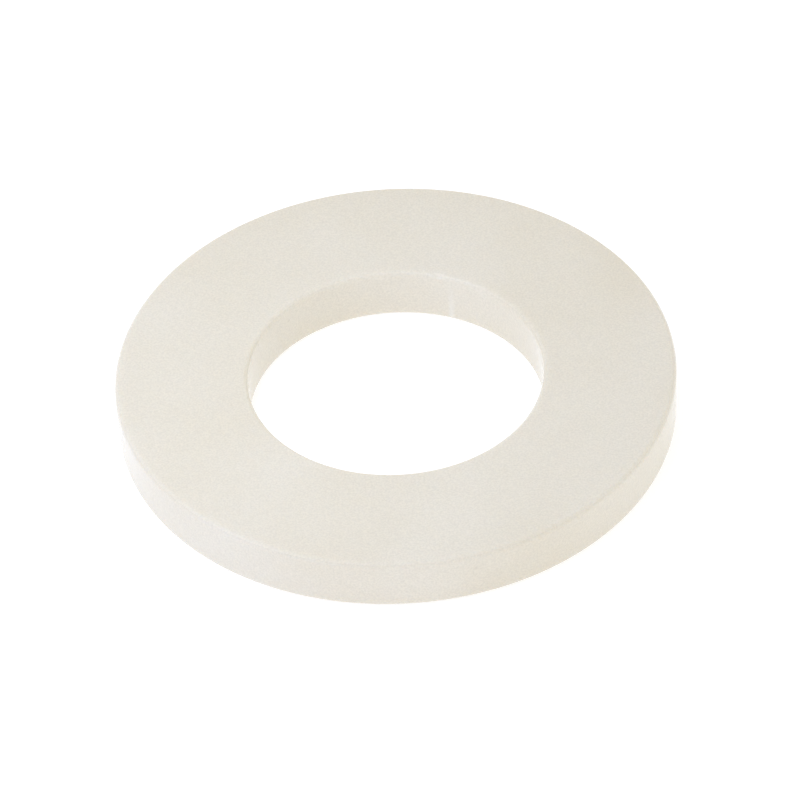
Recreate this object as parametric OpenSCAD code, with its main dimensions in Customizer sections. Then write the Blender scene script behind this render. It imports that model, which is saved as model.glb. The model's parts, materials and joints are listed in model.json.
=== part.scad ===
// Plain flat washer for an M8 screw, injection moulded in natural nylon.
// One solid: a ring with rounded edges and a slightly drafted rim. The mould parted at the top
// face, so the rim is widest there. Millimetres. The origin is the centre of the underside, and +Z
// runs up along the bore.

/* [Washer] */
// Outer diameter, at the widest place of the rim
outer_d = 16; // [14:0.1:24]
// Diameter of the bore, which clears the screw
bore_d = 8.4; // [5:0.1:11]
// Thickness from the underside to the top face
thickness = 1.6; // [1.2:0.1:3]

/* [Edges] */
// Radius on the two edges of the rim
rim_edge_r = 0.16; // [0.05:0.01:0.3]
// Radius on the two edges of the bore
bore_edge_r = 0.16; // [0.05:0.01:0.3]
// Draft of the rim, in degrees: it narrows towards the underside
rim_draft = 1.5; // [0:0.25:3]

/* [Hidden] */

nylon = [0.93, 0.91, 0.86];
outer_r = outer_d / 2;
bore_r = bore_d / 2;
round_fn = 180;
edge_fn = 48;

// The rim's outline leans by the draft, and touches the round of each edge.
rim_top_z = thickness - rim_edge_r;
rim_bottom_z = rim_edge_r;
rim_top_x = outer_r - rim_edge_r;
rim_bottom_x = rim_top_x - (rim_top_z - rim_bottom_z) * tan(rim_draft);
rim_lean = rim_edge_r * [cos(rim_draft), -sin(rim_draft)];

module edge_round(x, z, r) {
    translate([x, z])
        circle(r = r, $fn = edge_fn);
}

// The ring's section, to the right of the axis of revolution.
module section() {
    core_x = bore_r + bore_edge_r;
    polygon([
        [bore_r, bore_edge_r],
        [core_x, 0],
        [rim_bottom_x, 0],
        [rim_bottom_x, rim_bottom_z] + rim_lean,
        [rim_top_x, rim_top_z] + rim_lean,
        [rim_top_x, thickness],
        [core_x, thickness],
        [bore_r, thickness - bore_edge_r]
    ]);
    edge_round(core_x, bore_edge_r, bore_edge_r);
    edge_round(core_x, thickness - bore_edge_r, bore_edge_r);
    edge_round(rim_bottom_x, rim_bottom_z, rim_edge_r);
    edge_round(rim_top_x, rim_top_z, rim_edge_r);
}

module flat_washer() {
    color(nylon)
        rotate_extrude($fn = round_fn)
            section();
}

flat_washer();
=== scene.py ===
"""Looks of a flat washer, moulded in natural nylon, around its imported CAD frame. Metres throughout.

The ring is one fine mesh that stands for the CAD node: its section is swept round the bore axis, and
the marks of its moulding are worked into the vertices. Its nylon is a procedural material.
"""

import json
import math

import bpy
from mathutils import Matrix, Vector, noise


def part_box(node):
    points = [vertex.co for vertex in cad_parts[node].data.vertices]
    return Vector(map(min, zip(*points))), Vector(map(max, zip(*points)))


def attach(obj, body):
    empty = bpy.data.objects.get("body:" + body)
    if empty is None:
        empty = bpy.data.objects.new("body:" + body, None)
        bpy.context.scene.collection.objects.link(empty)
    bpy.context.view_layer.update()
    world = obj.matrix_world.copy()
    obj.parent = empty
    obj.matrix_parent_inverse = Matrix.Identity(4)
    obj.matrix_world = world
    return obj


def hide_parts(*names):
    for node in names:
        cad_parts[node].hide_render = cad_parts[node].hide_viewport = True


MM = 0.001
NODE = "flat_washer"

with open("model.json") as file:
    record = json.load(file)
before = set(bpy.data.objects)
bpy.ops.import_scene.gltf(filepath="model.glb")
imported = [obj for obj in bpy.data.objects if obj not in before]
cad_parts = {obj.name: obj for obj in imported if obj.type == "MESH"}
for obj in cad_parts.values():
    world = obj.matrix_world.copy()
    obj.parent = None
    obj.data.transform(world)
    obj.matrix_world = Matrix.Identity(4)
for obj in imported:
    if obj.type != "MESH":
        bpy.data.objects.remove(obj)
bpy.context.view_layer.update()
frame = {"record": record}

# ---------------------------------------------------------------- sizes, from the frame

mounts = {m["name"]: m for m in frame["record"]["mounts"]}
low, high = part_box(NODE)
OUTER_R = (high.x - low.x) / 2
THICKNESS = high.z - low.z
BORE_R = mounts["bore"]["dims"]["r_mm"] * MM
EDGE_R = (THICKNESS - mounts["bore"]["dims"]["length_mm"] * MM) / 2
RIM_DRAFT = math.radians(1.5)  # the CAD rim's lean, which the frame doesn't hold
TOP_CENTRE = Vector((0, 0, high.z))

# ---------------------------------------------------------------- marks of the moulding

# Angles are seen from above, from +X. The weld line starts a little under the top face.
WELD_ANGLE = math.radians(65.8)
WELD_HALF_W = 0.14 * MM
WELD_RIDGE = 0.008 * MM
WELD_START = 0.05 * MM

NICK_ANGLE = math.radians(71)
NICK_HALF_W = 0.17 * MM
NICK_DEPTH = 0.03 * MM

# Ripples under the nick, whose middle is DRAG_DOWN under the top face.
DRAG_HALF_W = 0.22 * MM
DRAG_DOWN = 0.32 * MM
DRAG_HALF_H = 0.26 * MM
DRAG_PITCH = 0.12 * MM
DRAG_DEPTH = 0.003 * MM

# The skin's slow waves, which lie under the true surface and fade out on the faces towards the
# edges. The seeds give the walls and the faces their own waves.
WAVE_PER_MM = 0.35
WAVE_H = 0.004 * MM
WAVE_FROM_EDGE = 0.8 * MM
WALL_SEED = 3
FACE_SEED = 11

# ---------------------------------------------------------------- mesh fineness

# Steps round the whole turn, and finer ones between the angles where the bore has its marks.
TURN_STEPS = 540
MARKS_FROM = math.radians(62)
MARKS_TO = math.radians(76)
MARKS_STEPS = 84

# Steps along the section: each round edge, each face, the bore wall and the rim wall.
EDGE_STEPS = 9
FACE_STEPS = 14
BORE_STEPS = 44
RIM_STEPS = 20


def steps(start, end, count):
    """Even steps from start towards end, without the end itself."""
    return [start + (end - start) * i / count for i in range(count)]


def line(a, b, count):
    return [(x, z) for x, z in zip(steps(a[0], b[0], count), steps(a[1], b[1], count))]


def arc(centre, radius, start, end, count):
    """Points of a round edge, with angles from the outward direction."""
    return [
        (centre[0] + radius * math.cos(t), centre[1] + radius * math.sin(t))
        for t in steps(start, end, count)
    ]


def section():
    """The ring's outline as (radius, height), from the bore's foot up, outwards, down and back in."""
    quarter = math.pi / 2
    bore_x = BORE_R + EDGE_R
    rim_x = OUTER_R - EDGE_R
    top_z = THICKNESS - EDGE_R
    foot_x = rim_x - (top_z - EDGE_R) * math.tan(RIM_DRAFT)
    lean = (EDGE_R * math.cos(RIM_DRAFT), -EDGE_R * math.sin(RIM_DRAFT))
    wall_top = (rim_x + lean[0], top_z + lean[1])
    wall_foot = (foot_x + lean[0], EDGE_R + lean[1])

    points = line((BORE_R, EDGE_R), (BORE_R, top_z), BORE_STEPS)
    points += arc((bore_x, top_z), EDGE_R, 2 * quarter, quarter, EDGE_STEPS)
    points += line((bore_x, THICKNESS), (rim_x, THICKNESS), FACE_STEPS)
    points += arc((rim_x, top_z), EDGE_R, quarter, -RIM_DRAFT, EDGE_STEPS)
    points += line(wall_top, wall_foot, RIM_STEPS)
    points += arc((foot_x, EDGE_R), EDGE_R, -RIM_DRAFT, -quarter, EDGE_STEPS)
    points += line((foot_x, 0), (bore_x, 0), FACE_STEPS)
    points += arc((bore_x, EDGE_R), EDGE_R, -quarter, -2 * quarter, EDGE_STEPS)
    return points


def turns():
    """The angles of the sweep: even steps, with finer ones where the bore's marks are."""
    even = [t for t in steps(0, 2 * math.pi, TURN_STEPS) if not MARKS_FROM <= t < MARKS_TO]
    return sorted(even + steps(MARKS_FROM, MARKS_TO, MARKS_STEPS))


def turn_between(a, b):
    """The angle from b to a, the short way round."""
    return (a - b + math.pi) % (2 * math.pi) - math.pi


def bump(distance, half_width):
    """1 at the middle, falling smoothly to 0 at half_width."""
    t = min(1.0, abs(distance) / half_width)
    return (1 - t * t) ** 2


def ease(value, start, end):
    """0 before start, 1 after end, smooth between."""
    t = min(1.0, max(0.0, (value - start) / (end - start)))
    return t * t * (3 - 2 * t)


def sunk(point, seed):
    """How far the moulded skin lies under its true surface."""
    return WAVE_H * (1 + noise.noise(point * (WAVE_PER_MM / MM) + Vector((seed, 0, 0))))


def weld_mark(angle, radius, z):
    """Share of the weld line at a point, where the two flow fronts of the melt met."""
    across = turn_between(angle, WELD_ANGLE) * BORE_R
    in_bore = 1 - ease(radius, BORE_R, BORE_R + EDGE_R)
    return bump(across, WELD_HALF_W) * in_bore * ease(THICKNESS - z, WELD_START, THICKNESS)


def nick_mark(angle, radius, z):
    """Share of the small nick in the bore's top edge, beside the weld line."""
    across = turn_between(angle, NICK_ANGLE) * BORE_R
    from_edge = math.hypot(radius - BORE_R, z - THICKNESS)
    return bump(across, NICK_HALF_W) * bump(from_edge, EDGE_R)


def drag_mark(angle, radius, z):
    """Height, from -1 to 1, of the ripples where the core dragged on the bore below the nick."""
    across = turn_between(angle, NICK_ANGLE) * BORE_R
    down = THICKNESS - z - DRAG_DOWN
    in_bore = 1 - ease(radius, BORE_R, BORE_R + EDGE_R)
    patch = bump(across, DRAG_HALF_W) * bump(down, DRAG_HALF_H) * in_bore
    return patch * math.cos(2 * math.pi * down / DRAG_PITCH)


def moulded(angle, radius, z):
    """Where the skin lies at a point of the true ring."""
    true = Vector((radius * math.cos(angle), radius * math.sin(angle), z))
    from_wall = min(radius - BORE_R, OUTER_R - radius)
    outward = 1 if radius > (BORE_R + OUTER_R) / 2 else -1
    upward = 1 if z > THICKNESS / 2 else -1
    radius -= outward * sunk(true, WALL_SEED) * ease(from_wall, EDGE_R, 0)
    z -= upward * sunk(true, FACE_SEED) * ease(from_wall, 0, WAVE_FROM_EDGE)
    ridges = WELD_RIDGE * weld_mark(angle, radius, z) + DRAG_DEPTH * drag_mark(angle, radius, z)
    nick = NICK_DEPTH * nick_mark(angle, radius, z)
    radius -= ridges
    radius += nick
    z -= nick
    return Vector((radius * math.cos(angle), radius * math.sin(angle), z))


def ring_mesh():
    """The swept ring, with float attributes for the walls and the marks that the material shows."""
    outline = section()
    angles = turns()
    places = [(t, r, z) for t in angles for r, z in outline]
    points = [moulded(*place) for place in places]
    count = len(outline)
    faces = []
    for i in range(len(angles)):
        here, there = i * count, (i + 1) % len(angles) * count
        for j in range(count):
            k = (j + 1) % count
            faces.append((here + j, here + k, there + k, there + j))
    mesh = bpy.data.meshes.new("washer_ring")
    mesh.from_pydata(points, [], faces)
    marks = {
        "weld": [weld_mark(*place) for place in places],
        "nick": [nick_mark(*place) for place in places],
        "wall": [ease(min(z, THICKNESS - z), 0, EDGE_R / 2) for t, r, z in places],
    }
    for name, values in marks.items():
        mesh.attributes.new(name, "FLOAT", "POINT").data.foreach_set("value", values)
    mesh.shade_smooth()
    mesh.update()
    return mesh


# ---------------------------------------------------------------- nylon

NYLON_WARM = (0.747, 0.691, 0.573, 1)
NYLON_PALE = (0.772, 0.726, 0.628, 1)
NYLON_WHITENED = (0.90, 0.89, 0.86, 1)
SPECK_BROWN = (0.30, 0.26, 0.19, 1)
SPECK_SHADE = 0.17
WHITENING = {"weld": 0.35, "nick": 0.25}

NYLON_IOR = 1.53
SCATTER_SHARE = 0.3
SCATTER_RADIUS = (1.0, 0.85, 0.62)
SCATTER_SCALE = 0.3 * MM

# How many features a millimetre of surface holds: of the cloudy colour, the fine grain, the change
# in gloss and the relief.
CLOUD_PER_MM = 0.22
GRAIN_PER_MM = 18
GLOSS_PER_MM = 2.5
RELIEF_PER_MM = 7

# The middle part of the noise that turns warm nylon into pale, and how far the grain changes it.
CLOUD_RANGE = (0.3, 0.7)
GRAIN_SHADE = 0.14

# The faces are satin; the walls, drawn off a polished core and cavity, are that much smoother and
# have that share of the faces' relief.
FACE_ROUGHNESS = (0.42, 0.54)
FACE_RELIEF = 0.004 * MM
WALL_POLISH = 0.34
WALL_RELIEF = 0.3

# Dark inclusions in the walls: angle in degrees, the wall's radius, height and size.
SPECKS = (
    (284, OUTER_R, 1.1 * MM, 0.08 * MM),
    (135, BORE_R, 1.1 * MM, 0.06 * MM),
    (157, BORE_R, 1.42 * MM, 0.06 * MM),
)


def nylon():
    """Natural nylon: a milky, faintly mottled plastic with a fine satin skin."""
    material = bpy.data.materials.new("natural_nylon")
    material.use_nodes = True
    nodes, links = material.node_tree.nodes, material.node_tree.links
    shader = nodes["Principled BSDF"]
    shader.inputs["IOR"].default_value = NYLON_IOR
    shader.inputs["Subsurface Weight"].default_value = SCATTER_SHARE
    shader.inputs["Subsurface Radius"].default_value = SCATTER_RADIUS
    shader.inputs["Subsurface Scale"].default_value = SCATTER_SCALE

    place = nodes.new("ShaderNodeTexCoord").outputs["Object"]

    def cloudiness(per_mm, detail, roughness=0.5):
        texture = nodes.new("ShaderNodeTexNoise")
        texture.inputs["Scale"].default_value = per_mm / MM
        texture.inputs["Detail"].default_value = detail
        texture.inputs["Roughness"].default_value = roughness
        links.new(place, texture.inputs["Vector"])
        return texture.outputs["Fac"]

    def mix(share, a, b, blend="MIX"):
        node = nodes.new("ShaderNodeMix")
        node.data_type = "RGBA"
        node.blend_type = blend
        for socket, value in (("Factor", share), ("A", a), ("B", b)):
            target = next(s for s in node.inputs if s.name == socket and s.enabled)
            if isinstance(value, bpy.types.NodeSocket):
                links.new(value, target)
            else:
                target.default_value = value
        return next(s for s in node.outputs if s.enabled)

    def scaled(value, low_end, high_end, from_low=0.0, from_high=1.0):
        node = nodes.new("ShaderNodeMapRange")
        links.new(value, node.inputs["Value"])
        node.inputs["From Min"].default_value = from_low
        node.inputs["From Max"].default_value = from_high
        node.inputs["To Min"].default_value = low_end
        node.inputs["To Max"].default_value = high_end
        return node.outputs["Result"]

    def mark(name):
        node = nodes.new("ShaderNodeAttribute")
        node.attribute_name = name
        return node.outputs["Fac"]

    def speck(angle, radius, height, size):
        away = nodes.new("ShaderNodeVectorMath")
        away.operation = "DISTANCE"
        turn = math.radians(angle)
        away.inputs[1].default_value = (radius * math.cos(turn), radius * math.sin(turn), height)
        links.new(place, away.inputs[0])
        return scaled(away.outputs["Value"], SPECK_SHADE, 0, size / 4, size)

    cloud = scaled(cloudiness(CLOUD_PER_MM, 2), 0, 1, *CLOUD_RANGE)
    colour = mix(cloud, NYLON_WARM, NYLON_PALE)
    grain = scaled(cloudiness(GRAIN_PER_MM, 2), 1 - GRAIN_SHADE, 1 + GRAIN_SHADE)
    colour = mix(1.0, colour, grain, "MULTIPLY")
    for name, strength in WHITENING.items():
        colour = mix(scaled(mark(name), 0, strength), colour, NYLON_WHITENED)
    for spot in SPECKS:
        colour = mix(speck(*spot), colour, SPECK_BROWN)
    links.new(colour, shader.inputs["Base Color"])
    roughness = nodes.new("ShaderNodeMath")
    roughness.operation = "SUBTRACT"
    links.new(scaled(cloudiness(GLOSS_PER_MM, 3), *FACE_ROUGHNESS), roughness.inputs[0])
    links.new(scaled(mark("wall"), 0, WALL_POLISH), roughness.inputs[1])
    links.new(roughness.outputs["Value"], shader.inputs["Roughness"])

    skin = nodes.new("ShaderNodeBump")
    links.new(scaled(mark("wall"), 1, WALL_RELIEF), skin.inputs["Strength"])
    skin.inputs["Distance"].default_value = FACE_RELIEF
    links.new(cloudiness(RELIEF_PER_MM, 3, 0.6), skin.inputs["Height"])
    links.new(skin.outputs["Normal"], shader.inputs["Normal"])
    return material


def washer():
    ring = bpy.data.objects.new("washer_ring", ring_mesh())
    bpy.context.scene.collection.objects.link(ring)
    ring.data.materials.append(nylon())
    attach(ring, "root")
    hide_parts(NODE)
    return ring


# ---------------------------------------------------------------- stage, light and camera

FLOOR_HALF = 1.0
FLOOR_GAP = 0.002 * MM
FLOOR_ALBEDO = 0.65
FLOOR_ROUGHNESS = 0.5
FLOOR_GLOW = 0.5

# An even white tent all round.
TENT_GLOW = 0.89

# Two cool softboxes close to the washer, overhead and at the front left, whose light falls off
# towards its right: place, size, power in watts and colour.
BOXES = {
    "overhead": ((-8 * MM, -3 * MM, 17 * MM), 18 * MM, 0.00093, (0.74, 0.83, 1)),
    "front_left": ((-22 * MM, -20 * MM, 14 * MM), 36 * MM, 0.0018, (0.18, 0.35, 1)),
}

CAMERA_SENSOR_MM = 36
CAMERA_LENS_MM = 405
CAMERA_ELEVATION = math.radians(42.49)
CAMERA_ROLL = math.radians(3.25)
CAMERA_DISTANCE = 32.01 * OUTER_R
AIM_RIGHT = 0.0107 * OUTER_R
AIM_DOWN = 0.1015 * OUTER_R


def floor():
    """A plain white table top that glows a little, so that no shadow greys it."""
    mesh = bpy.data.meshes.new("floor")
    corners = [(x * FLOOR_HALF, y * FLOOR_HALF, 0) for x, y in ((-1, -1), (1, -1), (1, 1), (-1, 1))]
    mesh.from_pydata(corners, [], [(0, 1, 2, 3)])
    plane = bpy.data.objects.new("floor", mesh)
    plane.location.z = low.z - FLOOR_GAP
    bpy.context.scene.collection.objects.link(plane)
    material = bpy.data.materials.new("white_table")
    material.use_nodes = True
    shader = material.node_tree.nodes["Principled BSDF"]
    shader.inputs["Base Color"].default_value = (FLOOR_ALBEDO,) * 3 + (1,)
    shader.inputs["Roughness"].default_value = FLOOR_ROUGHNESS
    shader.inputs["Emission Color"].default_value = (1, 1, 1, 1)
    shader.inputs["Emission Strength"].default_value = FLOOR_GLOW
    mesh.materials.append(material)


def tent():
    world = bpy.data.worlds.new("light_tent")
    bpy.context.scene.world = world
    world.use_nodes = True
    background = world.node_tree.nodes["Background"]
    background.inputs["Color"].default_value = (1, 1, 1, 1)
    background.inputs["Strength"].default_value = TENT_GLOW


def softbox(name, place, size, power, colour):
    """A square light that faces the washer, and that the camera doesn't see."""
    light = bpy.data.lights.new(name, "AREA")
    light.size = size
    light.energy = power
    light.color = colour
    box = bpy.data.objects.new(name, light)
    box.location = place
    box.rotation_euler = (-box.location).to_track_quat("-Z", "Y").to_euler()
    box.visible_camera = False
    bpy.context.scene.collection.objects.link(box)


def camera():
    """A long lens from the front, well above the washer and turned a little about its own axis."""
    ahead = Vector((0, math.cos(CAMERA_ELEVATION), -math.sin(CAMERA_ELEVATION)))
    level = Vector((1, 0, 0))
    upward = Vector((0, math.sin(CAMERA_ELEVATION), math.cos(CAMERA_ELEVATION)))
    right = math.cos(CAMERA_ROLL) * level - math.sin(CAMERA_ROLL) * upward
    up = math.sin(CAMERA_ROLL) * level + math.cos(CAMERA_ROLL) * upward
    aim = TOP_CENTRE + AIM_RIGHT * level - AIM_DOWN * upward
    data = bpy.data.cameras.new("camera")
    data.sensor_width = CAMERA_SENSOR_MM
    data.lens = CAMERA_LENS_MM
    data.clip_start = CAMERA_DISTANCE / 20
    data.clip_end = CAMERA_DISTANCE * 40
    view = bpy.data.objects.new("camera", data)
    view.matrix_world = Matrix.Translation(aim - CAMERA_DISTANCE * ahead) @ Matrix(
        (right, up, -ahead)
    ).transposed().to_4x4()
    bpy.context.scene.collection.objects.link(view)
    bpy.context.scene.camera = view


camera()
washer()
floor()
tent()
for name, settings in BOXES.items():
    softbox(name, *settings)
bpy.context.scene.view_settings.view_transform = "Standard"
